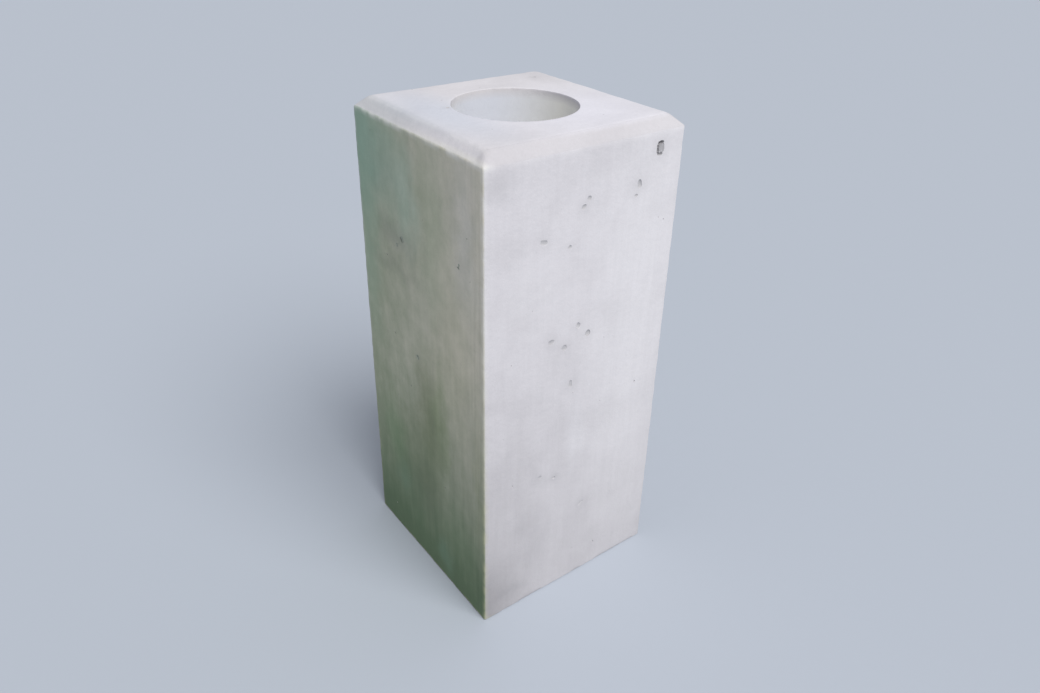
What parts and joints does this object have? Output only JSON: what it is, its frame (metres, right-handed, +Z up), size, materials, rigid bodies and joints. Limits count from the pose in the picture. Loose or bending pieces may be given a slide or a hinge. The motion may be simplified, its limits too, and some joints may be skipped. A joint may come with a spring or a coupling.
{
  "type": "column base block",
  "caption": "Upright square concrete base block, slightly tapered, with chamfered top edges and a deep round socket in its top that holds the foot of a post or column.",
  "frame": {"origin": "centre of the underside, on the surface that the block stands on", "axes": "+Z up along the socket, +X to the right and -Y towards the viewer of the bright face that the picture shows at the right; the stained face is -X"},
  "size_m": [0.2, 0.2, 0.45],
  "materials": {
    "precast_concrete": "mould-faced grey concrete, matt, with air holes, damp darkening at the foot and green algae on one side"
  },
  "bodies": {
    "root": {"base_block": "precast_concrete"}
  },
  "joints": []
}
